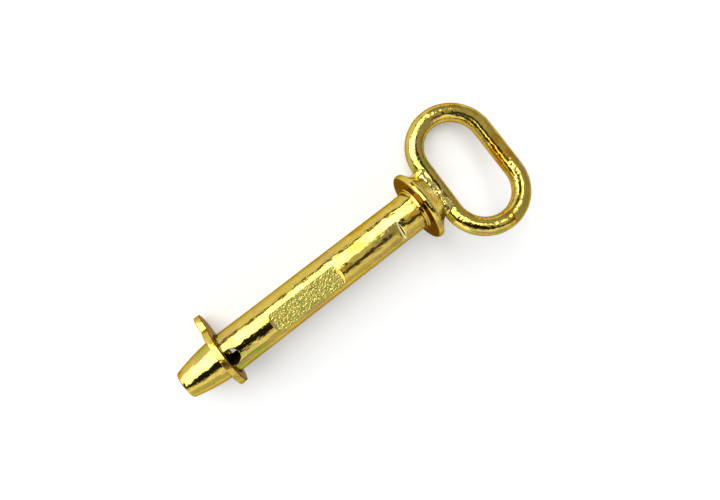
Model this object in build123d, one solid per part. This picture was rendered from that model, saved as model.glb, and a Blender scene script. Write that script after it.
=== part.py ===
"""Forged hitch pin with a welded loop handle and a loose tabbed washer, lying at rest.

Every piece is first built in the pin's own frame: the shank lies on the X axis, the
collar's bearing face is at x = 0, the tip points towards -X and the handle's loop lies
in the XY plane.  The whole is then laid on the floor z = 0, where it rests on the
collar's rim, the washer's rim and one side of the loop.  In that row frame +X runs
along the shank towards the handle, +Z is up and the origin is the bottom centre of the
bounding box.
"""

import os
from math import asin, atan2, cos, degrees, radians, sin, sqrt, tan

from build123d import *

# ---------------------------------------------------------------- driving sizes, mm
# Shank and nose
SHANK_D = 28.0
SHANK_LEN = 188.0  # bearing face to tip
NOSE_LEN = 27.0
NOSE_END_D = 18.6
NOSE_BULGE = 0.7  # how far the nose's side swells past a straight cone
TIP_BEVEL = 0.9

# Collar, the neck ring under it and the head behind it
COLLAR_D = 50.4
COLLAR_T = 4.8
COLLAR_BEVEL = 0.8
NECK_LEN = 2.3
NECK_STEP = 1.1
NECK_BEVEL = 0.3
NECK_ROOT = 0.7  # slope that fills the corner between neck and collar
HEAD_STEP = 1.6  # collar rim to the foot of the head's dished back
HEAD_MID_D = 38.4
HEAD_MID_H = 4.0
HEAD_TOP_D = 34.0
HEAD_H = 7.4
HEAD_BEVEL = 0.6

# Features that face the same way round the shank, as an angle from the loop's normal
KEY_ANGLE = -23.0
HOLE_D = 11.0
HOLE_FROM_TIP = 34.3
HOLE_BEVEL = 0.6
PANEL_FROM_COLLAR = 94.9  # to the panel's middle
PANEL_LEN = 51.2
PANEL_DEPTH = 1.9
PANEL_END_SLOPE = 45.0
NOTCH_ANGLE = -36.0
NOTCH_FROM_COLLAR = 20.2
NOTCH_FLOOR_W = 1.4
NOTCH_DEPTH = 2.1
NOTCH_WALL_SLOPE = 62.0

# Loop handle, bent from round bar, and its weld
BAR_D = 13.2
LOOP_GAP = 39.0  # clear opening along the shank
LOOP_REACH = 75.0  # clear opening across the shank
LOOP_LEAN = 3.0  # degrees off square, with the +Y end further from the collar
WELD_ROOT = 1.2  # gap between the head and the bar, filled by the weld
WELD_BEAD_R = 4.0
WELD_BEAD_RISE = 1.8  # head's top to the bead's middle
WELD_BEAD_OUT = 4.9  # loop's plane to the bead's middle
WELD_BEAD_INSET = 2.4  # head's edge to either end of the beads
WELD_STOP_R = 7.8  # lump where the weld ends, on the -Y side
WELD_STOP_RISE = 2.3
WELD_STOP_INSET = 5.0
WELD_START_R = 6.4  # lump where it begins, on the +Y side
WELD_START_RISE = 1.1
WELD_START_INSET = 4.2

# Tabbed washer, loose on the shank
WASHER_D = 42.2
WASHER_T = 4.4
WASHER_CLEARANCE = 0.4  # round the shank, on the radius
WASHER_BEVEL = 0.4
WASHER_FROM_NOSE = 0.8  # start of the nose to the washer's face on that side
TAB_W = 18.6
TAB_SIDE = 3.4  # straight side of the tab, from the washer's rim to its round end
TAB_ROOT_R = 2.0
TAB_FLOOR_GAP = 0.15

CUT_PAST = 1.5  # how far every cutter runs past the surface it cuts

# ---------------------------------------------------------------- derived sizes
SHANK_R = SHANK_D / 2
COLLAR_R = COLLAR_D / 2
NECK_R = SHANK_R + NECK_STEP
NOSE_END_R = NOSE_END_D / 2
HEAD_TOP_X = COLLAR_T + HEAD_H
BAR_R = BAR_D / 2
LOOP_R = (LOOP_GAP + BAR_D) / 2
LOOP_STRAIGHT = LOOP_REACH - LOOP_GAP
BAR_X = HEAD_TOP_X + WELD_ROOT + BAR_R
LOOP_X = BAR_X + LOOP_R
HEAD_TOP_R = HEAD_TOP_D / 2
HOLE_X = HOLE_FROM_TIP - SHANK_LEN
WASHER_R = WASHER_D / 2
BORE_R = SHANK_R + WASHER_CLEARANCE
WASHER_TIP_X = NOSE_LEN + WASHER_FROM_NOSE - SHANK_LEN
TAB_R = TAB_W / 2
TAB_ROOT_X = sqrt(WASHER_R**2 - TAB_R**2)
TAB_END_X = TAB_ROOT_X + TAB_SIDE


def rest_pitch() -> float:
    """Nose-down angle, in degrees, at which the collar and the washer both touch.

    Returns:
        The angle between the shank's axis and the floor.
    """
    run = COLLAR_BEVEL - (WASHER_TIP_X + WASHER_BEVEL)
    return degrees(atan2(COLLAR_R - WASHER_R, run))


PITCH = radians(rest_pitch())
# Height of the collar face's centre above the floor, from the rim's low corner
AXIS_H = COLLAR_R * cos(PITCH) - COLLAR_BEVEL * sin(PITCH)


def rest_roll() -> float:
    """Angle, in degrees, between the loop's plane and the floor when its side touches.

    Returns:
        The roll about the shank that brings the loop's +Y side down to the floor.
    """
    bend_x = LOOP_X + LOOP_STRAIGHT / 2 * sin(radians(LOOP_LEAN))
    bend_y = LOOP_STRAIGHT / 2 * cos(radians(LOOP_LEAN))
    drop = AXIS_H - BAR_R + bend_x * sin(PITCH)
    a = LOOP_R**2 - bend_y**2
    b = 2 * bend_y * drop
    c = (LOOP_R * sin(PITCH)) ** 2 - drop**2
    fall = (-b + sqrt(b * b - 4 * a * c)) / (2 * a)
    return degrees(asin(fall / cos(PITCH)))


def tab_dip() -> float:
    """Angle, in degrees, below the horizontal at which the tab's end meets the floor.

    Returns:
        The tab's dip on the side that the loop rests on.
    """
    washer_h = AXIS_H + WASHER_TIP_X * sin(PITCH)
    return degrees(asin((washer_h - TAB_R - TAB_FLOOR_GAP) / TAB_END_X))


ROLL = radians(rest_roll())


def turned(shape: Part, angle: float) -> Part:
    """Turn a feature built facing +Z to face an angle round the shank.

    Args:
        shape: The feature, facing +Z.
        angle: Degrees from the loop's normal towards +Y.

    Returns:
        The turned feature.
    """
    return Rot(-angle, 0, 0) * shape


def corner_at(face: Sketch, x: float, y: float) -> Vertex:
    """Find a face's corner nearest to (x, y)."""
    return face.vertices().sort_by_distance(Vector(x, y, 0))[0]


def pin_blank() -> Part:
    """Turn the nose, shank, neck, collar and head as one profile about the X axis."""
    tip = Vector(-SHANK_LEN, NOSE_END_R)
    shoulder = Vector(-SHANK_LEN + NOSE_LEN, SHANK_R)
    side = shoulder - tip
    outward = Vector(-side.Y, side.X).normalized()
    swell = (tip + shoulder) * 0.5 + outward * NOSE_BULGE
    head_foot_r = COLLAR_R - HEAD_STEP
    outline = [
        Line((-SHANK_LEN, 0), tip),
        ThreePointArc(tip, swell, shoulder),
        Polyline(
            shoulder,
            (-NECK_LEN, SHANK_R),
            (-NECK_LEN, NECK_R),
            (0, NECK_R),
            (0, COLLAR_R),
            (COLLAR_T, COLLAR_R),
            (COLLAR_T, head_foot_r),
            (COLLAR_T + HEAD_MID_H, HEAD_MID_D / 2),
            (HEAD_TOP_X, HEAD_TOP_R),
            (HEAD_TOP_X, 0),
            (-SHANK_LEN, 0),
        ),
    ]
    profile = make_face(outline)
    bevels = [
        (-SHANK_LEN, NOSE_END_R, TIP_BEVEL),
        (-NECK_LEN, NECK_R, NECK_BEVEL),
        (0, NECK_R, NECK_ROOT),
        (0, COLLAR_R, COLLAR_BEVEL),
        (COLLAR_T, COLLAR_R, COLLAR_BEVEL),
        (HEAD_TOP_X, HEAD_TOP_R, HEAD_BEVEL),
    ]
    for x, radius, size in bevels:
        profile = chamfer(corner_at(profile, x, radius), size)
    return revolve(profile, Axis.X)


def pocket(middle: float, floor_len: float, depth: float, slope: float) -> Part:
    """Cutter for a flat-floored pocket across the top of the shank.

    Args:
        middle: Distance of its middle from the bearing face.
        floor_len: Length of its floor along the shank.
        depth: Depth of its floor under the shank's crown.
        slope: Angle of its end walls from the floor, in degrees.

    Returns:
        The cutter, facing +Z.
    """
    flare = (depth + CUT_PAST) / tan(radians(slope))
    floor = SHANK_R - depth
    top = SHANK_R + CUT_PAST
    half = floor_len / 2
    side = Polyline(
        (-half, floor), (half, floor), (half + flare, top), (-half - flare, top), close=True
    )
    wedge = extrude(Plane.XZ * make_face(side), amount=SHANK_R, both=True)
    return Pos(-middle, 0, 0) * wedge


def make_pin() -> Part:
    """Forged pin: turned blank with its cross hole, panel pocket and notch."""
    blank = pin_blank()
    drill = Pos(HOLE_X, 0, 0) * Cylinder(HOLE_D / 2, SHANK_D + 2 * CUT_PAST)
    drilled = blank - turned(drill, KEY_ANGLE)
    pin = chamfer(new_edges(blank, combined=drilled), HOLE_BEVEL)
    pin -= turned(pocket(PANEL_FROM_COLLAR, PANEL_LEN, PANEL_DEPTH, PANEL_END_SLOPE), KEY_ANGLE)
    pin -= turned(
        pocket(NOTCH_FROM_COLLAR, NOTCH_FLOOR_W, NOTCH_DEPTH, NOTCH_WALL_SLOPE), NOTCH_ANGLE
    )
    return pin


def leaned(shape: Part) -> Part:
    """Turn a shape in the loop's plane, about the loop's middle, by the loop's lean."""
    return Pos(LOOP_X, 0, 0) * Rot(0, 0, -LOOP_LEAN) * Pos(-LOOP_X, 0, 0) * shape


def make_handle() -> Part:
    """Closed racetrack loop bent from round bar, welded on slightly askew."""
    run = Pos(LOOP_X, 0, 0) * SlotCenterToCenter(LOOP_STRAIGHT, 2 * LOOP_R, rotation=90)
    path = run.wire()
    section = Plane(origin=path @ 0, z_dir=path % 0) * Circle(BAR_R)
    return leaned(sweep(section, path=path))


def make_weld(pin: Part, handle: Part) -> Part:
    """Weld that fills the root under the bar, with a bead along each side and end lumps.

    Args:
        pin: The forged pin, cut out of the weld.
        handle: The loop, cut out of the weld.

    Returns:
        The weld metal as one solid.
    """
    half_run = HEAD_TOP_R - WELD_BEAD_INSET
    root_h = WELD_ROOT + BAR_R / 2
    root = Pos(HEAD_TOP_X + root_h / 2 - WELD_ROOT, 0, 0) * Box(
        root_h, 2 * half_run, 2 * WELD_BEAD_OUT
    )
    bead = Rot(90, 0, 0) * Cylinder(WELD_BEAD_R, 2 * half_run)
    weld = root
    for out in (WELD_BEAD_OUT, -WELD_BEAD_OUT):
        weld += Pos(HEAD_TOP_X + WELD_BEAD_RISE, 0, out) * bead
    stop_y = WELD_STOP_INSET - HEAD_TOP_R
    start_y = HEAD_TOP_R - WELD_START_INSET
    weld += Pos(HEAD_TOP_X + WELD_STOP_RISE, stop_y, 0) * Sphere(WELD_STOP_R)
    weld += Pos(HEAD_TOP_X + WELD_START_RISE, start_y, 0) * Sphere(WELD_START_R)
    return leaned(weld) - pin - handle


def make_washer() -> Part:
    """Flat washer with a round-ended thumb tab."""
    plate = Circle(WASHER_R) + Pos(TAB_END_X / 2, 0) * Rectangle(TAB_END_X, TAB_W)
    plate += Pos(TAB_END_X, 0) * Circle(TAB_R)
    for side in (TAB_R, -TAB_R):
        plate = fillet(corner_at(plate, TAB_ROOT_X, side), TAB_ROOT_R)
    plate -= Circle(BORE_R)
    washer = extrude(plate, amount=WASHER_T)
    washer = chamfer(washer.edges().filter_by(Plane.XY), WASHER_BEVEL)
    standing = Pos(WASHER_TIP_X, 0, 0) * Rot(0, 90, 0) * washer
    swing = 90 - tab_dip() + degrees(ROLL)
    return Rot(swing, 0, 0) * standing


def main() -> None:
    """Build the pieces, lay them on the floor and write one STEP file each."""
    pin = make_pin()
    handle = make_handle()
    pieces = {
        "forged_pin": pin,
        "loop_handle": handle,
        "handle_weld": make_weld(pin, handle),
        "tab_washer": make_washer(),
    }
    lean = Rot(0, -degrees(PITCH), 0) * Rot(-degrees(ROLL), 0, 0)
    laid = {name: lean * piece for name, piece in pieces.items()}
    box = Compound(children=[Compound(p.solids()) for p in laid.values()]).bounding_box()
    origin = Vector((box.min.X + box.max.X) / 2, (box.min.Y + box.max.Y) / 2, box.min.Z)
    os.makedirs("parts", exist_ok=True)
    for name, piece in laid.items():
        export_step(Pos(*(-origin)) * piece, f"parts/{name}.step")
    print(f"pitch {degrees(PITCH):.4f} roll {degrees(ROLL):.4f} tab dip {tab_dip():.4f}")
    print(f"bearing face centre at {tuple(round(v, 4) for v in -origin)}")
    print(f"height of the bearing face's centre {AXIS_H:.4f}, box floor {box.min.Z:.4f}")


main()
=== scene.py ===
"""Yellow-plated hitch pin lying on a pale studio floor.

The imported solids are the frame.  Each node is stood for by a smoother mesh of the same
form, turned, swept or cut at the same sizes, and dressed in its own plated finish.  The
pieces are modelled in the pin's own frame, where the shank lies on X, the collar's
bearing face is at x = 0, the tip points towards -X and the loop lies in the XY plane.
They are then laid on the floor as the solids are.  All lengths are in metres.
"""

from __future__ import annotations

import logging
from dataclasses import dataclass
from enum import Enum, IntEnum
from math import atan2, cos, pi, radians, sin, sqrt, tan
from typing import Callable, Iterator, Union

import bpy
from mathutils import Matrix, Vector


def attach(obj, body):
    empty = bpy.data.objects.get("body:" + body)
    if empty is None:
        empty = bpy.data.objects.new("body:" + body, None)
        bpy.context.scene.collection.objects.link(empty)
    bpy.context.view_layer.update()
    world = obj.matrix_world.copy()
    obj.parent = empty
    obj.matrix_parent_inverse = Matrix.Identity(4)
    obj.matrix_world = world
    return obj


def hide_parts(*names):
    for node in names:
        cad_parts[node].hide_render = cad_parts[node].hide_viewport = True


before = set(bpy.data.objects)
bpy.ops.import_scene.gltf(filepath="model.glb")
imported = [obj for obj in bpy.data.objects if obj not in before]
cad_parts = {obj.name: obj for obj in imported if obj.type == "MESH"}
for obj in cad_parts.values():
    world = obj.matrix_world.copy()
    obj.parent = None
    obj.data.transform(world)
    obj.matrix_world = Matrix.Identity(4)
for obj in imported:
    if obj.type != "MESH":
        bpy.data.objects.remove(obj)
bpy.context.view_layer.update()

LOG = logging.getLogger("hitch_pin")

Colour = tuple[float, float, float]
Socket = bpy.types.NodeSocket
Term = Union[Socket, float]
Test = Callable[[Vector], bool]
Tree = bpy.types.NodeTree


class Body(Enum):
    """The two bodies that move against each other."""

    PIN = "pin"
    WASHER = "washer"


class Coat(IntEnum):
    """Material slots of the forging."""

    PLAIN = 0
    STIPPLE = 1
    # Near-black painted shade in the cross hole and on the notch's far wall.
    SOOT = 2
    # Painted shade on the collar's bearing face.
    UMBER = 3
    # Painted highlight on the notch's lips and the cross hole's eased rim.
    WORN = 4
    # Painted light on the head and the panel's end towards the tip.
    CROWN = 5


@dataclass(frozen=True)
class Lay:
    """How the pin lies: its nose-down pitch, the loop's roll and the collar's place."""

    pitch: float = radians(1.4624)
    roll: float = radians(26.6353)
    collar: tuple[float, float, float] = (0.0541138, 0.0, 0.0251714)

    def matrix(self) -> Matrix:
        """Place of the pin's own frame in the row's frame.

        Returns:
            The matrix.
        """
        pitch = Matrix.Rotation(-self.pitch, 4, "Y")
        roll = Matrix.Rotation(-self.roll, 4, "X")
        return Matrix.Translation(self.collar) @ (pitch @ roll)


class Bench:
    """Small hand tools over Blender's operators."""

    @staticmethod
    def clear() -> None:
        """Leave edit mode and deselect everything."""
        if bpy.context.object and bpy.context.object.mode == "EDIT":
            bpy.ops.object.mode_set(mode="OBJECT")
        bpy.ops.object.select_all(action="DESELECT")

    @staticmethod
    def hold(piece: bpy.types.Object) -> None:
        """Select one piece alone and make it active.

        Args:
            piece: The piece to hold.
        """
        Bench.clear()
        piece.select_set(True)
        bpy.context.view_layer.objects.active = piece

    @staticmethod
    def edit(piece: bpy.types.Object) -> None:
        """Enter edit mode with the whole of a piece selected.

        Args:
            piece: The piece to edit.
        """
        Bench.hold(piece)
        bpy.ops.object.mode_set(mode="EDIT")
        bpy.ops.mesh.select_all(action="SELECT")

    @staticmethod
    def pick(piece: bpy.types.Object, test: Test) -> None:
        """Enter edit mode with those vertices selected that pass a test.

        Args:
            piece: The piece to edit.
            test: Says whether a point in the piece's own space is wanted.
        """
        Bench.hold(piece)
        bpy.ops.object.mode_set(mode="EDIT")
        bpy.ops.mesh.select_mode(type="VERT")
        bpy.ops.mesh.select_all(action="DESELECT")
        bpy.ops.object.mode_set(mode="OBJECT")
        for vertex in piece.data.vertices:
            vertex.select = test(vertex.co)
        bpy.ops.object.mode_set(mode="EDIT")

    @staticmethod
    def cut(piece: bpy.types.Object, tool: bpy.types.Object) -> None:
        """Cut a tool body out of a piece and throw the tool away.

        Args:
            piece: The piece that is cut.
            tool: The cutter.
        """
        Bench.hold(piece)
        modifier = piece.modifiers.new("cut", "BOOLEAN")
        modifier.operation = "DIFFERENCE"
        modifier.solver = "EXACT"
        modifier.object = tool
        bpy.ops.object.modifier_apply(modifier=modifier.name)
        bpy.data.objects.remove(tool, do_unlink=True)

    @staticmethod
    def tidy(piece: bpy.types.Object, gap: float) -> None:
        """Merge doubles and turn all faces outwards.

        Args:
            piece: The piece to tidy.
            gap: Points closer than this are merged.
        """
        Bench.edit(piece)
        bpy.ops.mesh.remove_doubles(threshold=gap)
        bpy.ops.mesh.normals_make_consistent(inside=False)
        bpy.ops.object.mode_set(mode="OBJECT")

    @staticmethod
    def seat(piece: bpy.types.Object, name: str, place: Matrix, smooth: float) -> None:
        """Name a piece, apply its place to its mesh and smooth it.

        Args:
            piece: The finished piece.
            name: Its name.
            place: Matrix from the piece's own frame to the row's frame.
            smooth: Edges sharper than this angle stay crisp.
        """
        Bench.hold(piece)
        bpy.ops.object.transform_apply(location=True, rotation=True, scale=True)
        piece.data.transform(place)
        piece.name = name
        piece.data.name = name
        bpy.ops.object.shade_smooth_by_angle(angle=smooth)


class Wires:
    """Small hand tools over shader nodes."""

    @staticmethod
    def feed(tree: Tree, term: Term, socket: Socket) -> None:
        """Link a socket or set a plain number on it.

        Args:
            tree: The node tree.
            term: What goes in: another node's output or a number.
            socket: Where it goes.
        """
        if isinstance(term, float):
            socket.default_value = term
        else:
            tree.links.new(term, socket)

    @staticmethod
    def reckon(tree: Tree, operation: str, *terms: Term) -> Socket:
        """Do one sum.

        Args:
            tree: The node tree.
            operation: The sum's name.
            *terms: What it works on.

        Returns:
            The socket with its result.
        """
        node = tree.nodes.new("ShaderNodeMath")
        node.operation = operation
        for term, socket in zip(terms, node.inputs):
            Wires.feed(tree, term, socket)
        return node.outputs[0]

    @staticmethod
    def spread(
        tree: Tree,
        value: Socket,
        source: tuple[float, float],
        target: tuple[float, float] = (0.0, 1.0),
        interpolation: str = "LINEAR",
    ) -> Socket:
        """Map one span of values to another, and clamp it there.

        Args:
            tree: The node tree.
            value: What is mapped.
            source: Values that give the two ends of the target.
            target: The two ends of the result.
            interpolation: How it goes from one to the other.

        Returns:
            The socket with the mapped value.
        """
        node = tree.nodes.new("ShaderNodeMapRange")
        node.interpolation_type = interpolation
        node.inputs["From Min"].default_value = source[0]
        node.inputs["From Max"].default_value = source[1]
        node.inputs["To Min"].default_value = target[0]
        node.inputs["To Max"].default_value = target[1]
        tree.links.new(value, node.inputs["Value"])
        return node.outputs["Result"]

    @staticmethod
    def blend(tree: Tree, share: Socket, under: Term, over: float) -> Socket:
        """Lay one level over another.

        Args:
            tree: The node tree.
            share: How much of the upper level shows.
            under: The lower level.
            over: The upper level.

        Returns:
            The socket with the blend.
        """
        node = tree.nodes.new("ShaderNodeMix")
        node.data_type = "FLOAT"
        Wires.feed(tree, under, node.inputs["A"])
        Wires.feed(tree, over, node.inputs["B"])
        tree.links.new(share, node.inputs["Factor"])
        return node.outputs["Result"]


@dataclass(frozen=True)
class Noise:
    """Noise with features of one size.

    Attributes:
        wavelength: Size of its features.
        detail: Octaves of finer detail.
        seed: Offset that makes this noise its own.
    """

    wavelength: float
    detail: float
    seed: float

    def lay(self, tree: Tree, place: Socket) -> Socket:
        """Add the noise to a material.

        Args:
            tree: The material's node tree.
            place: Coordinates that it reads.

        Returns:
            The socket with values about 0.5.
        """
        texture = tree.nodes.new("ShaderNodeTexNoise")
        texture.noise_dimensions = "4D"
        texture.inputs["W"].default_value = self.seed
        texture.inputs["Scale"].default_value = 1.0 / self.wavelength
        texture.inputs["Detail"].default_value = self.detail
        tree.links.new(place, texture.inputs["Vector"])
        return texture.outputs["Fac"]


@dataclass(frozen=True)
class Plating:
    """Yellow zinc plate: gold metal with faint rainbow tints over a worked surface.

    Attributes:
        name: Material's name.
        gold: Main colour.
        amber: Warm tint where the plate is thick.
        olive: Green tint where it is thin.
        rose: Pink tint in between.
        rim: Tint of what it mirrors at a glancing angle.
        metallic: 1 where it is bare plate, 0 for the near-black painted shade.
        mirror: Specular level of bare plate.
        gloss: Roughness at its shiniest and dullest.
        warmth: Drift towards amber for each metre along +X, from `warmth_from` on.
        warmth_from: Where that drift is nil.
        stretch: Scale of the pattern along the shank; below 1 draws it out.
        grain: Wavelength of the fine worked grain.
        grain_depth: Depth of the grain.
        wave: Wavelength of the shallow hammered waves.
        wave_depth: Depth of the waves.
        pits: Wavelength and depth of the pitting, as shares of the grain's.
        tints: Where amber, gold from and to, rose and olive lie in the drift.
        drift: Noise that moves the tints.
        mottle: Noise that shades the plate, between `mottle_span` and `mottle_shade`.
        patch: Noise that dulls the plate, over `patch_span`.
    """

    name: str
    gold: Colour = (0.63, 0.48, 0.092)
    amber: Colour = (0.60, 0.33, 0.038)
    olive: Colour = (0.45, 0.46, 0.07)
    rose: Colour = (0.62, 0.39, 0.13)
    rim: Colour = (0.48, 0.34, 0.20)
    metallic: float = 1.0
    mirror: float = 0.5
    gloss: tuple[float, float] = (0.05, 0.14)
    warmth: float = 0.0
    warmth_from: float = 0.0
    stretch: float = 0.5
    grain: float = 0.0024
    grain_depth: float = 0.00026
    wave: float = 0.009
    wave_depth: float = 0.00050
    pits: tuple[float, float] = (0.25, 0.08)
    tints: tuple[float, float, float, float, float] = (0.36, 0.43, 0.54, 0.60, 0.66)
    drift: Noise = Noise(0.011, detail=2.5, seed=1.7)
    mottle: Noise = Noise(0.0016, detail=3.0, seed=6.1)
    mottle_span: tuple[float, float] = (0.35, 0.65)
    mottle_shade: tuple[float, float] = (0.86, 1.0)
    patch: Noise = Noise(0.0042, detail=3.0, seed=3.3)
    patch_span: tuple[float, float] = (0.35, 0.68)

    def material(self) -> bpy.types.Material:
        """Build the finish's nodes.

        Returns:
            The material.
        """
        material = bpy.data.materials.new(self.name)
        material.use_nodes = True
        tree = material.node_tree
        shader = tree.nodes["Principled BSDF"]
        shader.inputs["Metallic"].default_value = self.metallic
        shader.inputs["Specular IOR Level"].default_value = self.mirror * self.metallic
        shader.inputs["Specular Tint"].default_value = (*self.rim, 1.0)
        place = self.mapping(tree)
        tree.links.new(self.colour(tree, place), shader.inputs["Base Color"])
        tree.links.new(self.roughness(tree, place), shader.inputs["Roughness"])
        tree.links.new(self.relief(tree, place), shader.inputs["Normal"])
        return material

    def mapping(self, tree: Tree) -> Socket:
        """Object coordinates, drawn out along the shank.

        Args:
            tree: The material's node tree.

        Returns:
            The socket with the coordinates.
        """
        place = tree.nodes.new("ShaderNodeTexCoord")
        draw = tree.nodes.new("ShaderNodeMapping")
        draw.inputs["Scale"].default_value = (self.stretch, 1.0, 1.0)
        tree.links.new(place.outputs["Object"], draw.inputs["Vector"])
        return draw.outputs["Vector"]

    def colour(self, tree: Tree, place: Socket) -> Socket:
        """Gold that drifts through amber, rose and olive over the piece.

        Args:
            tree: The material's node tree.
            place: Coordinates that it reads.

        Returns:
            The socket with the colour.
        """
        drift = self.drift.lay(tree, place)
        ramp = tree.nodes.new("ShaderNodeValToRGB")
        amber_at, gold_from, gold_to, rose_at, olive_at = self.tints
        stops = ramp.color_ramp
        stops.elements[0].position = amber_at
        stops.elements[0].color = (*self.amber, 1.0)
        stops.elements[1].position = olive_at
        stops.elements[1].color = (*self.olive, 1.0)
        between = ((gold_from, self.gold), (gold_to, self.gold), (rose_at, self.rose))
        for position, tint in between:
            stop = stops.elements.new(position)
            stop.color = (*tint, 1.0)
        parts = tree.nodes.new("ShaderNodeSeparateXYZ")
        tree.links.new(place, parts.inputs["Vector"])
        cool = Wires.reckon(
            tree,
            "MULTIPLY_ADD",
            parts.outputs["X"],
            -self.warmth / self.stretch,
            self.warmth * self.warmth_from,
        )
        tree.links.new(Wires.reckon(tree, "ADD", drift, cool), ramp.inputs["Fac"])
        mottle = self.mottle.lay(tree, place)
        shade = Wires.spread(tree, mottle, self.mottle_span, self.mottle_shade)
        mix = tree.nodes.new("ShaderNodeMix")
        mix.data_type = "RGBA"
        mix.blend_type = "MULTIPLY"
        mix.inputs["Factor"].default_value = 1.0
        tree.links.new(ramp.outputs["Color"], mix.inputs["A"])
        tree.links.new(shade, mix.inputs["B"])
        return mix.outputs["Result"]

    def roughness(self, tree: Tree, place: Socket) -> Socket:
        """Patches of brighter and duller plate."""
        patch = self.patch.lay(tree, place)
        return Wires.spread(tree, patch, self.patch_span, self.gloss)

    def relief(self, tree: Tree, place: Socket) -> Socket:
        """Shallow waves, worked grain and a fine pitting, one bump on the next.

        Args:
            tree: The material's node tree.
            place: Coordinates that it reads.

        Returns:
            The socket with the normal.
        """
        pit, pit_depth = self.grain * self.pits[0], self.grain_depth * self.pits[1]
        layers = (
            (Noise(self.wave, detail=1.0, seed=8.2), self.wave_depth),
            (Noise(self.grain, detail=2.0, seed=2.4), self.grain_depth),
            (Noise(pit, detail=1.0, seed=5.9), pit_depth),
        )
        under = None
        for noise, depth in layers:
            bump = tree.nodes.new("ShaderNodeBump")
            bump.inputs["Strength"].default_value = 1.0
            bump.inputs["Distance"].default_value = depth
            tree.links.new(noise.lay(tree, place), bump.inputs["Height"])
            if under is not None:
                tree.links.new(under, bump.inputs["Normal"])
            under = bump.outputs["Normal"]
        return under


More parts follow.
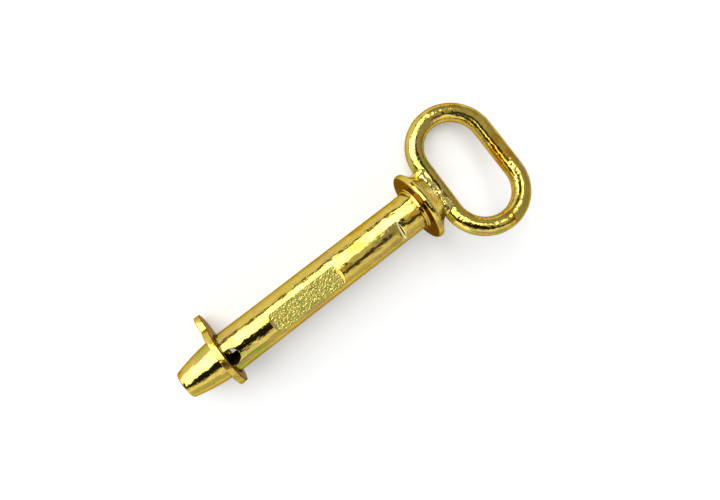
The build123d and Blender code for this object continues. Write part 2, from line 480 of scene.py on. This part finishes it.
@dataclass
class ForgedPin:
    """Shank with its nose, neck, collar and head, cross hole, panel and notch."""

    shank_r: float = 0.014
    length: float = 0.188
    nose: float = 0.027
    nose_end_r: float = 0.0093
    nose_bulge: float = 0.0007
    nose_steps: int = 14
    nose_first: float = 0.05
    tip_edge: float = 0.0013
    shank_rings: tuple[float, ...] = (0.01, 0.03, 0.97, 0.995, 1.0)
    edge_steps: int = 6
    neck_steps: int = 3
    root_steps: int = 4
    collar_r: float = 0.0252
    collar_t: float = 0.0048
    collar_edge: float = 0.0019
    neck: float = 0.0023
    neck_r: float = 0.0151
    neck_edge: float = 0.0004
    neck_root: float = 0.0010
    head_foot_r: float = 0.0236
    head_mid: float = 0.0088
    head_mid_r: float = 0.0192
    head_top: float = 0.0122
    head_top_r: float = 0.0170
    head_edge: float = 0.0008
    head_edge_turn: float = 0.5
    key: float = radians(-23.0)
    hole_r: float = 0.0055
    hole_from_tip: float = 0.0343
    hole_edge: float = 0.0006
    hole_sides: int = 96
    panel_middle: float = -0.0949
    panel_length: float = 0.0512
    panel_depth: float = 0.0019
    panel_slope: float = radians(45.0)
    notch_key: float = radians(-36.0)
    notch_middle: float = -0.0202
    notch_floor: float = 0.0014
    notch_depth: float = 0.0021
    notch_slope: float = radians(62.0)
    notch_lip: float = 0.00045
    lip_steps: int = 3
    past: float = 0.0015
    sides: int = 160
    merge: float = 1e-6
    near: float = 1e-4
    # Limits that tell its faces apart: a distance, then parts of a face's normal.
    touching: float = 5e-6
    faces_it: float = 0.99
    square_to_it: float = 0.2
    end_tilt: tuple[float, float] = (0.3, 0.9)
    lip_tilt: tuple[float, float] = (0.1, 0.8)
    far_tilt: float = -0.6
    crisp: float = radians(25.0)
    finish: Plating = Plating("plate_shank")
    stipple: Plating = Plating(
        "plate_panel",
        gold=(0.60, 0.52, 0.120),
        amber=(0.56, 0.46, 0.100),
        olive=(0.53, 0.51, 0.110),
        rose=(0.58, 0.50, 0.120),
        gloss=(0.15, 0.25),
        stretch=1.0,
        grain=0.0013,
        grain_depth=0.00120,
        wave=0.0035,
        wave_depth=0.00012,
    )
    # Near-black painted shade for the cross hole's wall and the notch's far wall, where
    # shade falls in these recesses.
    recess_painted_shade: Plating = Plating(
        "plate_bore_painted_shade",
        gold=(0.020, 0.013, 0.006),
        amber=(0.018, 0.010, 0.005),
        olive=(0.018, 0.014, 0.006),
        rose=(0.024, 0.014, 0.008),
        metallic=0.0,
        gloss=(0.6, 0.8),
    )
    # Painted shade: a darker copy of the plating for the collar's bearing face, in the
    # corner by the shank.
    bearing_face_painted_shade: Plating = Plating(
        "plate_bearing_face_painted_shade",
        gold=(0.27, 0.175, 0.05),
        amber=(0.23, 0.13, 0.03),
        olive=(0.26, 0.19, 0.05),
        rose=(0.29, 0.18, 0.06),
        rim=(0.42, 0.30, 0.13),
        gloss=(0.12, 0.24),
        stretch=1.0,
    )
    # Painted highlight: a paler copy of the plating for the notch's lips and the cross
    # hole's eased rim.
    edge_painted_highlight: Plating = Plating(
        "plate_edge_painted_highlight",
        gold=(0.94, 0.84, 0.34),
        amber=(0.92, 0.78, 0.28),
        olive=(0.88, 0.83, 0.32),
        rose=(0.93, 0.80, 0.34),
        gloss=(0.18, 0.30),
        stretch=1.0,
    )
    # Painted light: a paler copy of the plating for the head and the panel's end towards
    # the tip.
    crown: Plating = Plating(
        "plate_head_painted_light",
        gold=(0.90, 0.76, 0.23),
        amber=(0.86, 0.65, 0.14),
        olive=(0.78, 0.73, 0.18),
        rose=(0.88, 0.69, 0.23),
        gloss=(0.12, 0.24),
        stretch=1.0,
    )

    def profile(self) -> Iterator[tuple[float, float]]:
        """Turned outline, from the tip to the head's top.

        Returns:
            Points as (x, radius).
        """
        tip = -self.length
        rise = atan2(self.shank_r - self.nose_end_r, self.nose)
        rise += 4.0 * self.nose_bulge / self.nose
        drop = self.tip_edge * (1.0 - sin(rise)) / cos(rise)
        tip_at = (tip + self.tip_edge, self.nose_end_r - drop)
        yield from self.arc(tip_at, self.tip_edge, (pi, pi / 2 + rise), self.edge_steps)
        for step in range(1, self.nose_steps + 1):
            t = self.nose_first + (1.0 - self.nose_first) * step / self.nose_steps
            cone = self.nose_end_r + (self.shank_r - self.nose_end_r) * t
            yield tip + self.nose * t, cone + self.nose_bulge * 4.0 * t * (1.0 - t)
        start = tip + self.nose
        run = -self.neck - start
        for t in self.shank_rings:
            yield start + run * t, self.shank_r
        neck_at = (self.neck_edge - self.neck, self.neck_r - self.neck_edge)
        yield from self.arc(neck_at, self.neck_edge, (pi, pi / 2), self.neck_steps)
        root_at = (-self.neck_root, self.neck_r + self.neck_root)
        yield from self.arc(root_at, self.neck_root, (-pi / 2, 0.0), self.root_steps)
        rim = self.collar_r - self.collar_edge
        near_at = (self.collar_edge, rim)
        yield from self.arc(near_at, self.collar_edge, (pi, pi / 2), self.edge_steps)
        far_at = (self.collar_t - self.collar_edge, rim)
        yield from self.arc(far_at, self.collar_edge, (pi / 2, 0.0), self.edge_steps)
        yield self.collar_t, self.head_foot_r
        yield self.head_mid, self.head_mid_r
        top_at = (self.head_top - self.head_edge, self.head_top_r - self.head_edge)
        turn = (pi / 2 - self.head_edge_turn, 0.0)
        yield from self.arc(top_at, self.head_edge, turn, self.root_steps)

    @staticmethod
    def arc(
        centre: tuple[float, float],
        radius: float,
        turn: tuple[float, float],
        steps: int,
    ) -> Iterator[tuple[float, float]]:
        """Points along a rounded corner.

        Args:
            centre: Its centre, along the shank and away from the axis.
            radius: Corner's radius.
            turn: Angles of the first and the last point, from +X.
            steps: Number of stretches.

        Returns:
            Points as (x, radius).
        """
        start, stop = turn
        for step in range(steps + 1):
            angle = start + (stop - start) * step / steps
            yield centre[0] + radius * cos(angle), centre[1] + radius * sin(angle)

    def blank(self) -> bpy.types.Object:
        """Turn the blank: a disc drawn out ring by ring along the axis.

        Returns:
            The blank.
        """
        Bench.clear()
        rings = list(self.profile())
        x, r = rings[0]
        bpy.ops.mesh.primitive_circle_add(
            vertices=self.sides,
            radius=r,
            fill_type="NGON",
            location=(x, 0.0, 0.0),
            rotation=(0.0, -pi / 2, 0.0),
        )
        piece = bpy.context.object
        bpy.ops.object.transform_apply(location=True, rotation=True, scale=True)
        Bench.edit(piece)
        for next_x, next_r in rings[1:]:
            bpy.ops.mesh.extrude_region_move(
                TRANSFORM_OT_translate={"value": (next_x - x, 0.0, 0.0)}
            )
            scale = next_r / r
            bpy.ops.transform.resize(
                value=(1.0, scale, scale), center_override=(next_x, 0.0, 0.0)
            )
            x, r = next_x, next_r
        bpy.ops.object.mode_set(mode="OBJECT")
        Bench.tidy(piece, self.merge)
        return piece

    def drill(self) -> bpy.types.Object:
        """Cutter for the cross hole.

        Returns:
            The cutter.
        """
        Bench.clear()
        bpy.ops.mesh.primitive_cylinder_add(
            vertices=self.hole_sides,
            radius=self.hole_r,
            depth=2.0 * (self.shank_r + self.past),
            location=(self.hole_from_tip - self.length, 0.0, 0.0),
            rotation=(-self.key, 0.0, 0.0),
        )
        return bpy.context.object

    def pocket(
        self, middle: float, floor: float, depth: float, slope: float, key: float
    ) -> bpy.types.Object:
        """Cutter for a flat-floored pocket across the shank.

        Args:
            middle: Its middle along the shank.
            floor: Length of its floor.
            depth: Depth under the shank's crown.
            slope: Angle of its end walls from the floor.
            key: Angle round the shank that it faces.

        Returns:
            The cutter.
        """
        Bench.clear()
        height = depth + self.past
        bpy.ops.mesh.primitive_cube_add(
            size=1.0,
            location=(middle, 0.0, self.shank_r - depth + height / 2),
            scale=(floor, 2.0 * self.shank_r, height),
        )
        tool = bpy.context.object
        bpy.ops.object.transform_apply(location=True, rotation=True, scale=True)
        Bench.pick(tool, lambda point: point.z > self.shank_r)
        flare = (floor + 2.0 * height / tan(slope)) / floor
        bpy.ops.transform.resize(
            value=(flare, 1.0, 1.0), center_override=(middle, 0.0, self.shank_r)
        )
        Bench.clear()
        tool.data.transform(Matrix.Rotation(-key, 4, "X"))
        return tool

    def facing(self) -> Vector:
        """Direction that the cross hole and the panel face."""
        return Vector((0.0, sin(self.key), cos(self.key)))

    def by_notch(self, point: Vector) -> bool:
        """Whether a point lies within the notch's reach along the shank."""
        return abs(point.x - self.notch_middle) < 2.0 * self.notch_depth

    def from_bore(self, point: Vector) -> float:
        """Distance of a point from the cross hole's wall, outwards.

        Args:
            point: The point.

        Returns:
            The distance, below nil inside the hole.
        """
        facing = self.facing()
        out = point - Vector((self.hole_from_tip - self.length, 0.0, 0.0))
        return (out - facing * out.dot(facing)).length - self.hole_r

    def by_bore(self, point: Vector) -> bool:
        """Whether a point lies on the cross hole's wall."""
        return abs(self.from_bore(point)) < self.near / 2

    def coat(self, at: Vector, normal: Vector) -> Coat:
        """Finish of one face.

        The notch's lips and the cross hole's rim carry a painted highlight, a paler
        plate, and the notch's far wall and the hole's wall a near-black painted shade.
        The head and the panel's end towards the tip are painted lighter, as painted
        light, the collar's bearing face is painted dark, as painted shade, and the
        panel's floor is stippled.

        Args:
            at: Its middle.
            normal: Its normal.

        Returns:
            The finish's slot.
        """
        turned = normal.dot(self.facing())
        if self.by_notch(at):
            # The notch's lips get the painted highlight, its far wall the near-black
            # painted shade.
            if self.lip_tilt[0] < abs(normal.x) < self.lip_tilt[1]:
                return Coat.WORN
            if normal.x < self.far_tilt:
                return Coat.SOOT
        # The panel's end towards the tip gets the painted light.
        end = abs(at.x - self.panel_middle + self.panel_length / 2)
        if end < self.panel_depth and self.end_tilt[0] < normal.x < self.end_tilt[1]:
            return Coat.CROWN
        # The head gets the painted light.
        if normal.x > self.end_tilt[0] and at.x > self.collar_t - self.collar_edge:
            return Coat.CROWN
        # The collar's bearing face gets the painted shade.
        if normal.x < -self.end_tilt[1] and at.x > -self.neck_root:
            return Coat.UMBER
        # The cross hole's eased rim gets the painted highlight.
        if self.touching < self.from_bore(at) < self.hole_edge:
            return Coat.WORN
        # The cross hole's wall gets the near-black painted shade.
        if abs(self.from_bore(at)) < self.near and abs(turned) < self.square_to_it:
            return Coat.SOOT
        depth = self.shank_r - at.dot(self.facing())
        level = abs(depth - self.panel_depth) < self.near
        within = abs(at.x - self.panel_middle) < self.panel_length / 2
        if level and within and turned > self.faces_it:
            return Coat.STIPPLE
        return Coat.PLAIN

    def dress(self, piece: bpy.types.Object) -> None:
        """Give the piece its finishes, each face its own.

        Args:
            piece: The pin.
        """
        finishes = {
            Coat.PLAIN: self.finish,
            Coat.STIPPLE: self.stipple,
            Coat.SOOT: self.recess_painted_shade,
            Coat.UMBER: self.bearing_face_painted_shade,
            Coat.WORN: self.edge_painted_highlight,
            Coat.CROWN: self.crown,
        }
        for slot in Coat:
            piece.data.materials.append(finishes[slot].material())
        for face in piece.data.polygons:
            face.material_index = self.coat(face.center, face.normal)

    def lip(self, piece: bpy.types.Object, inside: Test, width: float) -> None:
        """Ease an opening's edges where it runs out through the shank.

        Args:
            piece: The pin.
            inside: Says whether a point on the shank's skin belongs to the opening.
            width: Width of the eased edge.
        """
        skin = self.shank_r - self.near
        Bench.pick(
            piece, lambda point: sqrt(point.y**2 + point.z**2) > skin and inside(point)
        )
        bpy.ops.mesh.bevel(
            offset=width, segments=self.lip_steps, affect="EDGES", offset_type="OFFSET"
        )
        Bench.clear()

    def build(self, lay: Lay) -> bpy.types.Object:
        """Model the pin, dress it and lay it down.

        Args:
            lay: How the pin lies.

        Returns:
            The forging.
        """
        piece = self.blank()
        panel = self.pocket(
            self.panel_middle,
            self.panel_length,
            self.panel_depth,
            self.panel_slope,
            self.key,
        )
        notch = self.pocket(
            self.notch_middle,
            self.notch_floor,
            self.notch_depth,
            self.notch_slope,
            self.notch_key,
        )
        for tool in (self.drill(), panel, notch):
            Bench.cut(piece, tool)
        self.lip(piece, self.by_notch, self.notch_lip)
        self.lip(piece, self.by_bore, self.hole_edge)
        self.dress(piece)
        Bench.seat(piece, "pin_forging", lay.matrix(), self.crisp)
        return piece


@dataclass
class LoopHandle:
    """Closed racetrack loop of round bar, welded on slightly askew."""

    bar_r: float = 0.0066
    bend_r: float = 0.0261
    straight: float = 0.036
    middle: float = 0.0461
    lean: float = radians(3.0)
    sides: int = 56
    bend_steps: int = 56
    straight_steps: int = 12
    merge: float = 1e-5
    crisp: float = radians(40.0)
    finish: Plating = Plating(
        "plate_bar",
        warmth=3.0,
        warmth_from=0.104,
        stretch=1.0,
    )

    def askew(self) -> Matrix:
        """Turn that sets the loop askew about its middle."""
        about = Matrix.Translation((self.middle, 0.0, 0.0))
        return about @ Matrix.Rotation(-self.lean, 4, "Z") @ about.inverted()

    def build(self, lay: Lay) -> bpy.types.Object:
        """Sweep the bar round the loop, dress it and lay it down.

        Args:
            lay: How the pin lies.

        Returns:
            The loop.
        """
        Bench.clear()
        half = self.straight / 2
        step = self.straight / self.straight_steps
        bpy.ops.mesh.primitive_circle_add(
            vertices=self.sides,
            radius=self.bar_r,
            location=(self.middle + self.bend_r, -half, 0.0),
            rotation=(pi / 2, 0.0, 0.0),
        )
        piece = bpy.context.object
        bpy.ops.object.transform_apply(location=True, rotation=True, scale=True)
        Bench.edit(piece)
        for way in (1.0, -1.0):
            for _ in range(self.straight_steps):
                bpy.ops.mesh.extrude_region_move(
                    TRANSFORM_OT_translate={"value": (0.0, way * step, 0.0)}
                )
            bpy.ops.mesh.spin(
                steps=self.bend_steps,
                angle=-pi,
                center=(self.middle, way * half, 0.0),
                axis=(0.0, 0.0, 1.0),
            )
        bpy.ops.object.mode_set(mode="OBJECT")
        Bench.tidy(piece, self.merge)
        piece.data.transform(self.askew())
        piece.data.materials.append(self.finish.material())
        Bench.seat(piece, "loop_bar", lay.matrix(), self.crisp)
        return piece


@dataclass
class HandleWeld:
    """Rippled weld between the head and the bar, with a lump at each end."""

    head_top: float = 0.0122
    root_h: float = 0.0045
    root_lift: float = 0.25
    root_run: float = 0.0146
    bead_r: float = 0.0032
    bead_squash: float = 0.95
    bead_start: tuple[float, float] = (0.0150, 0.0148)
    bead_end: tuple[float, float] = (0.0172, -0.0080)
    bead_out: float = 0.0055
    ripples: int = 7
    blob_sides: int = 28
    blob_rings: int = 16
    wander: float = 2.6
    wander_size: float = 0.20
    wander_x: float = 0.0006
    stop: tuple[float, float, float] = (0.0166, -0.0126, 0.0038)
    stop_size: tuple[float, float, float] = (0.0052, 0.0062, 0.0056)
    start: tuple[float, float, float] = (0.0133, 0.0128, 0.0)
    start_size: tuple[float, float, float] = (0.0058, 0.0056, 0.0062)
    skin: float = 0.00035
    lump: float = 0.0034
    lump_depth: float = 0.0020
    lump_level: float = 0.55
    lump_octaves: int = 2
    ease: float = 0.5
    ease_rounds: int = 2
    crisp: float = radians(60.0)
    # Painted light: a paler copy of the plating that stands in for the weld's bright
    # highlights.
    finish: Plating = Plating(
        "plate_weld_painted_light",
        gold=(0.84, 0.72, 0.24),
        amber=(0.80, 0.62, 0.16),
        olive=(0.74, 0.70, 0.20),
        rose=(0.82, 0.66, 0.24),
        gloss=(0.13, 0.26),
        stretch=1.0,
        grain=0.0032,
        grain_depth=0.00022,
        wave=0.006,
    )

    def blob(
        self, place: tuple[float, float, float], size: tuple[float, float, float]
    ) -> bpy.types.Object:
        """Add an ellipsoid of metal.

        Args:
            place: Its centre.
            size: Its three half-widths.

        Returns:
            The ellipsoid.
        """
        bpy.ops.mesh.primitive_uv_sphere_add(
            segments=self.blob_sides,
            ring_count=self.blob_rings,
            radius=1.0,
            location=place,
            scale=size,
        )
        return bpy.context.object

    def heap(self) -> list[bpy.types.Object]:
        """Heap up the weld's root, its ripples on both sides and its two lumps.

        Returns:
            The heap's bodies.
        """
        Bench.clear()
        bpy.ops.mesh.primitive_cube_add(
            size=1.0,
            location=(self.head_top + self.root_h * self.root_lift, 0.0, 0.0),
            scale=(self.root_h, 2.0 * self.root_run, 2.0 * self.bead_out),
        )
        bodies = [bpy.context.object]
        bpy.ops.object.transform_apply(location=True, rotation=True, scale=True)
        first, last = Vector(self.bead_start), Vector(self.bead_end)
        for side in (1.0, -1.0):
            for ripple in range(self.ripples):
                wander = sin(self.wander * ripple + side)
                size = self.bead_r * (1.0 + self.wander_size * wander)
                x, y = first.lerp(last, ripple / (self.ripples - 1))
                place = (x + self.wander_x * wander, y, side * self.bead_out)
                flat = self.bead_r * self.bead_squash
                bodies.append(self.blob(place, (size, flat, size)))
        bodies.append(self.blob(self.stop, self.stop_size))
        bodies.append(self.blob(self.start, self.start_size))
        return bodies

    def melt(self, piece: bpy.types.Object) -> None:
        """Fuse the heap into one skin, roughen it and smooth it a little.

        Args:
            piece: The heap, joined.
        """
        Bench.hold(piece)
        skin = piece.modifiers.new("skin", "REMESH")
        skin.mode = "VOXEL"
        skin.voxel_size = self.skin
        bpy.ops.object.modifier_apply(modifier=skin.name)
        texture = bpy.data.textures.new("weld_lumps", "CLOUDS")
        texture.noise_scale = self.lump
        texture.noise_depth = self.lump_octaves
        rough = piece.modifiers.new("rough", "DISPLACE")
        rough.texture = texture
        rough.texture_coords = "LOCAL"
        rough.mid_level = self.lump_level
        rough.strength = self.lump_depth
        bpy.ops.object.modifier_apply(modifier=rough.name)
        ease = piece.modifiers.new("ease", "SMOOTH")
        ease.factor = self.ease
        ease.iterations = self.ease_rounds
        bpy.ops.object.modifier_apply(modifier=ease.name)

    def build(self, handle: LoopHandle, lay: Lay) -> bpy.types.Object:
        """Heap up the weld metal, melt it into one skin, dress it and lay it down.

        Args:
            handle: The loop, whose lean the weld follows.
            lay: How the pin lies.

        Returns:
            The weld.
        """
        bodies = self.heap()
        Bench.hold(bodies[0])
        for body in bodies:
            body.select_set(True)
        bpy.ops.object.join()
        piece = bpy.context.object
        self.melt(piece)
        piece.data.transform(handle.askew())
        piece.data.materials.append(self.finish.material())
        Bench.seat(piece, "weld_bead", lay.matrix(), self.crisp)
        return piece


@dataclass
class TabWasher:
    """Flat washer, loose on the shank, with a round-ended thumb tab."""

    rim_r: float = 0.0211
    rim_steps: int = 68
    bore_r: float = 0.0144
    bore_sides: int = 128
    thickness: float = 0.0044
    bevel: float = 0.0006
    bevel_steps: int = 3
    bevel_from: float = radians(60.0)
    near_face: float = -0.1602
    tab_r: float = 0.0093
    tab_steps: int = 24
    tab_side: float = 0.0034
    tab_root: float = 0.0020
    root_steps: int = 8
    tab_dip: float = radians(31.3808)
    merge: float = 2e-6
    crisp: float = radians(35.0)
    # Tilt span of the bevel faces that get the near-black painted shade, a dark line
    # along the washer's edges.
    painted_shade_tilt: tuple[float, float] = (0.5, 0.98)
    finish: Plating = Plating("plate_washer", gloss=(0.16, 0.30), stretch=1.0)
    edge_painted_shade: Plating = Plating(
        "plate_washer_edge_painted_shade",
        gold=(0.080, 0.048, 0.010),
        amber=(0.070, 0.038, 0.008),
        olive=(0.070, 0.052, 0.010),
        rose=(0.085, 0.048, 0.013),
        metallic=0.0,
        gloss=(0.5, 0.7),
        stretch=1.0,
    )

    @staticmethod
    def arc(
        centre: Vector, radius: float, turn: tuple[float, float], steps: int
    ) -> list[Vector]:
        """Points along an arc in the plate's plane, both ends among them.

        Args:
            centre: Its centre.
            radius: Its radius.
            turn: Angles of the first and the last point, from +X.
            steps: Number of stretches.

        Returns:
            The points.
        """
        start, stop = turn
        points = []
        for step in range(steps + 1):
            angle = start + (stop - start) * step / steps
            points.append(centre + radius * Vector((cos(angle), sin(angle), 0.0)))
        return points

    def outline(self) -> list[Vector]:
        """Plate's edge: tab end, tab root and rim above the axis, then back below it.

        Returns:
            The points in order.
        """
        rise = self.tab_r + self.tab_root
        root = Vector((sqrt((self.rim_r + self.tab_root) ** 2 - rise**2), rise, 0.0))
        turn = atan2(root.y, root.x)
        tab = Vector((sqrt(self.rim_r**2 - self.tab_r**2) + self.tab_side, 0.0, 0.0))
        upper = self.arc(tab, self.tab_r, (0.0, pi / 2), self.tab_steps)
        upper += self.arc(root, self.tab_root, (-pi / 2, turn - pi), self.root_steps)
        upper += self.arc(Vector(), self.rim_r, (turn, pi), self.rim_steps)[1:]
        return upper + [Vector((point.x, -point.y, 0.0)) for point in upper[-2:0:-1]]

    def drill(self) -> bpy.types.Object:
        """Cutter for the bore.

        Returns:
            The cutter.
        """
        Bench.clear()
        bpy.ops.mesh.primitive_cylinder_add(
            vertices=self.bore_sides,
            radius=self.bore_r,
            depth=2.0 * self.thickness,
            location=(0.0, 0.0, self.thickness / 2),
        )
        return bpy.context.object

    def plate(self) -> bpy.types.Object:
        """Washer and tab, lying flat with the tab towards +X.

        Returns:
            The plate, with its bore and eased edges.
        """
        edge = self.outline()
        Bench.clear()
        bpy.ops.mesh.primitive_circle_add(
            vertices=len(edge), radius=self.rim_r, fill_type="NGON"
        )
        piece = bpy.context.object
        for vertex, point in zip(piece.data.vertices, edge):
            vertex.co = point
        Bench.edit(piece)
        bpy.ops.mesh.extrude_region_move(
            TRANSFORM_OT_translate={"value": (0.0, 0.0, self.thickness)}
        )
        Bench.tidy(piece, self.merge)
        Bench.cut(piece, self.drill())
        Bench.tidy(piece, self.merge)
        Bench.hold(piece)
        modifier = piece.modifiers.new("ease", "BEVEL")
        modifier.width = self.bevel
        modifier.segments = self.bevel_steps
        modifier.limit_method = "ANGLE"
        modifier.angle_limit = self.bevel_from
        modifier.use_clamp_overlap = False
        bpy.ops.object.modifier_apply(modifier=modifier.name)
        return piece

    def build(self, lay: Lay) -> bpy.types.Object:
        """Model the washer, dress it and hang it on the shank with its tab down.

        Args:
            lay: How the pin lies.

        Returns:
            The washer.
        """
        piece = self.plate()
        for finish in (self.finish, self.edge_painted_shade):
            piece.data.materials.append(finish.material())
        # Bevel faces of the rim get the near-black painted shade.
        for face in piece.data.polygons:
            if self.painted_shade_tilt[0] < abs(face.normal.z) < self.painted_shade_tilt[1]:
                face.material_index = 1
        stand = (
            Matrix.Rotation(pi / 2 - self.tab_dip + lay.roll, 4, "X")
            @ Matrix.Translation((self.near_face, 0.0, 0.0))
            @ Matrix.Rotation(pi / 2, 4, "Y")
        )
        Bench.seat(piece, "washer_plate", lay.matrix() @ stand, self.crisp)
        return piece


@dataclass(frozen=True)
class Card:
    """One bright, dim or black card of the light tent.

    Attributes:
        along: Span of directions along the shank, as the X part of a unit vector.
        bearing: Span of bearings about the shank, in degrees from +Z towards +Y.
        level: How bright it is.
        soft_along: Softness of its ends.
        soft_bearing: Softness of its sides, in degrees.
    """

    along: tuple[float, float]
    bearing: tuple[float, float]
    level: float
    soft_along: float = 0.10
    soft_bearing: float = 5.0


@dataclass(frozen=True)
class HungCard:
    """One dim card hung close over the loop.

    Attributes:
        name: Its name.
        level: How bright it is.
        reach: Its distance from the shank's axis.
        along: Where it starts and ends along the shank.
        width: Its width across the shank.
    """

    name: str
    level: float
    reach: float
    along: tuple[float, float]
    width: float


@dataclass
class Studio:
    """Pale floor, soft light from all round and the camera."""

    floor_half: float = 2.0
    floor_grey: float = 0.68
    floor_glow: float = 0.22
    base_level: float = 0.42
    backdrop: float = 1.0
    cards: tuple[Card, ...] = (
        Card((-2.0, 0.40), (-100.0, -20.0), 0.74, soft_along=0.4, soft_bearing=12.0),
        Card((-0.72, 0.06), (-54.0, -25.0), 1.3),
        Card((0.06, 0.34), (-60.0, -37.0), 1.1),
        Card((-1.10, -0.76), (-100.0, -28.0), 2.0, soft_bearing=12.0),
        Card((-0.71, -0.20), (20.0, 92.0), 4.9),
        Card((-0.25, 0.30), (20.0, 75.0), 4.9),
        Card((-0.20, 2.0), (82.0, 107.0), 0.16),
        Card((-1.10, -0.72), (-10.0, 66.0), 0.04, soft_along=0.06, soft_bearing=12.0),
        Card((-0.74, 0.08), (-22.0, 17.0), 0.02),
        Card((0.06, 0.34), (-31.0, -9.0), 0.06, soft_bearing=6.0),
        Card((0.08, 0.30), (-8.0, 19.0), 0.80),
    )
    hung: tuple[HungCard, ...] = (
        HungCard("loop_shade", 0.50, 0.080, (0.067, 0.237), 0.062),
        HungCard("loop_streak", 0.02, 0.078, (0.084, 0.116), 0.050),
    )
    hung_bearing: float = radians(40.0)
    hung_height: float = 0.0235
    place: tuple[float, float, float] = (-0.0582, 0.12925, 0.39454)
    aim: tuple[float, float, float] = (0.00737, -0.00065, 0.020)
    up: tuple[float, float, float] = (0.60908, 0.77627, -0.16259)
    lens: float = 29.94
    sensor: float = 36.0
    clip: tuple[float, float] = (0.01, 20.0)

    @staticmethod
    def matt(name: str, grey: float) -> bpy.types.Material:
        """Matt material whose glow is white at any strength.

        Args:
            name: Its name.
            grey: How light it is.

        Returns:
            The material, not glowing yet.
        """
        material = bpy.data.materials.new(name)
        material.use_nodes = True
        shader = material.node_tree.nodes["Principled BSDF"]
        shader.inputs["Base Color"].default_value = (grey, grey, grey, 1.0)
        shader.inputs["Roughness"].default_value = 1.0
        shader.inputs["Specular IOR Level"].default_value = 0.0
        shader.inputs["Emission Color"].default_value = (1.0, 1.0, 1.0, 1.0)
        return material

    def floor(self) -> None:
        """Lay the floor, which glows a little and keeps the pin's shadow."""
        Bench.clear()
        bpy.ops.mesh.primitive_plane_add(size=2.0 * self.floor_half)
        piece = bpy.context.object
        piece.name = "floor"
        material = self.matt("pale_floor", self.floor_grey)
        tree = material.node_tree
        light = tree.nodes.new("ShaderNodeLightPath").outputs
        seen = Wires.reckon(
            tree, "MAXIMUM", light["Is Camera Ray"], light["Is Glossy Ray"]
        )
        seen = Wires.reckon(tree, "MAXIMUM", seen, light["Is Transmission Ray"])
        glow = Wires.reckon(tree, "MULTIPLY", seen, self.floor_glow)
        tree.links.new(glow, tree.nodes["Principled BSDF"].inputs["Emission Strength"])
        piece.data.materials.append(material)

    def tent(self) -> None:
        """Light tent round the pin: cards over a base level, plain white to the eye."""
        world = bpy.data.worlds.new("light_tent")
        bpy.context.scene.world = world
        world.use_nodes = True
        tree = world.node_tree
        place = tree.nodes.new("ShaderNodeTexCoord")
        split = tree.nodes.new("ShaderNodeSeparateXYZ")
        tree.links.new(place.outputs["Generated"], split.inputs["Vector"])
        along, across, up = split.outputs
        bearing = Wires.reckon(tree, "ARCTAN2", across, up)
        level: Term = self.base_level
        for card in self.cards:
            turn = (radians(card.bearing[0]), radians(card.bearing[1]))
            cover = Wires.reckon(
                tree,
                "MULTIPLY",
                self.window(tree, along, card.along, card.soft_along),
                self.window(tree, bearing, turn, radians(card.soft_bearing)),
            )
            level = Wires.blend(tree, cover, level, card.level)
        light = tree.nodes.new("ShaderNodeLightPath")
        shown = Wires.blend(tree, light.outputs["Is Camera Ray"], level, self.backdrop)
        tree.links.new(shown, tree.nodes["Background"].inputs["Color"])

    @staticmethod
    def window(
        tree: Tree, value: Socket, span: tuple[float, float], soft: float
    ) -> Socket:
        """One inside a span and nothing outside it, with soft edges.

        Args:
            tree: The world's node tree.
            value: What is tested.
            span: Lowest and highest value inside.
            soft: Width of either edge.

        Returns:
            The socket with the window's cover.
        """
        half = soft / 2
        low = (span[0] - half, span[0] + half)
        high = (span[1] + half, span[1] - half)
        rise = Wires.spread(tree, value, low, interpolation="SMOOTHSTEP")
        fall = Wires.spread(tree, value, high, interpolation="SMOOTHSTEP")
        return Wires.reckon(tree, "MULTIPLY", rise, fall)

    def hang(self, card: HungCard) -> None:
        """Hang a dim card over the loop, seen in reflections alone.

        Args:
            card: The card.
        """
        Bench.clear()
        bpy.ops.mesh.primitive_plane_add(size=1.0)
        piece = bpy.context.object
        piece.name = card.name
        start, end = card.along
        place = (
            Matrix.Translation((0.0, 0.0, self.hung_height))
            @ Matrix.Rotation(-self.hung_bearing, 4, "X")
            @ Matrix.Translation(((start + end) / 2, 0.0, card.reach))
            @ Matrix.Diagonal((end - start, card.width, 1.0, 1.0))
        )
        piece.data.transform(place)
        material = self.matt(card.name, 0.0)
        shader = material.node_tree.nodes["Principled BSDF"]
        shader.inputs["Emission Strength"].default_value = card.level
        piece.data.materials.append(material)
        piece.visible_camera = False
        piece.visible_diffuse = False
        piece.visible_shadow = False
        piece.visible_transmission = False

    def camera(self) -> None:
        """Set the camera above the pin, looking down on it."""
        forward = (Vector(self.aim) - Vector(self.place)).normalized()
        right = forward.cross(Vector(self.up)).normalized()
        turn = Matrix((right, right.cross(forward), -forward)).transposed().to_4x4()
        data = bpy.data.cameras.new("camera")
        data.lens = self.lens
        data.sensor_width = self.sensor
        data.clip_start, data.clip_end = self.clip
        camera = bpy.data.objects.new("camera", data)
        camera.matrix_world = Matrix.Translation(self.place) @ turn
        bpy.context.scene.collection.objects.link(camera)
        bpy.context.scene.camera = camera

    def build(self) -> None:
        """Set up the floor, the light and the camera."""
        self.floor()
        self.tent()
        for card in self.hung:
            self.hang(card)
        self.camera()
        bpy.context.scene.view_settings.view_transform = "Standard"


def main() -> None:
    """Build every piece, hang it on its body and set the studio."""
    logging.basicConfig(level=logging.INFO, format="%(message)s")
    lay = Lay()
    handle = LoopHandle()
    made = (
        (ForgedPin().build(lay), "forged_pin", "plated_steel", Body.PIN),
        (handle.build(lay), "loop_handle", "plated_bar", Body.PIN),
        (HandleWeld().build(handle, lay), "handle_weld", "plated_weld", Body.PIN),
        (TabWasher().build(lay), "tab_washer", "plated_washer", Body.WASHER),
    )
    for piece, node, slot, body in made:
        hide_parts(node)
        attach(piece, body.value)
        LOG.info("%s: %d faces for %s", piece.name, len(piece.data.polygons), node)
    Studio().build()


if __name__ == "__main__":
    main()
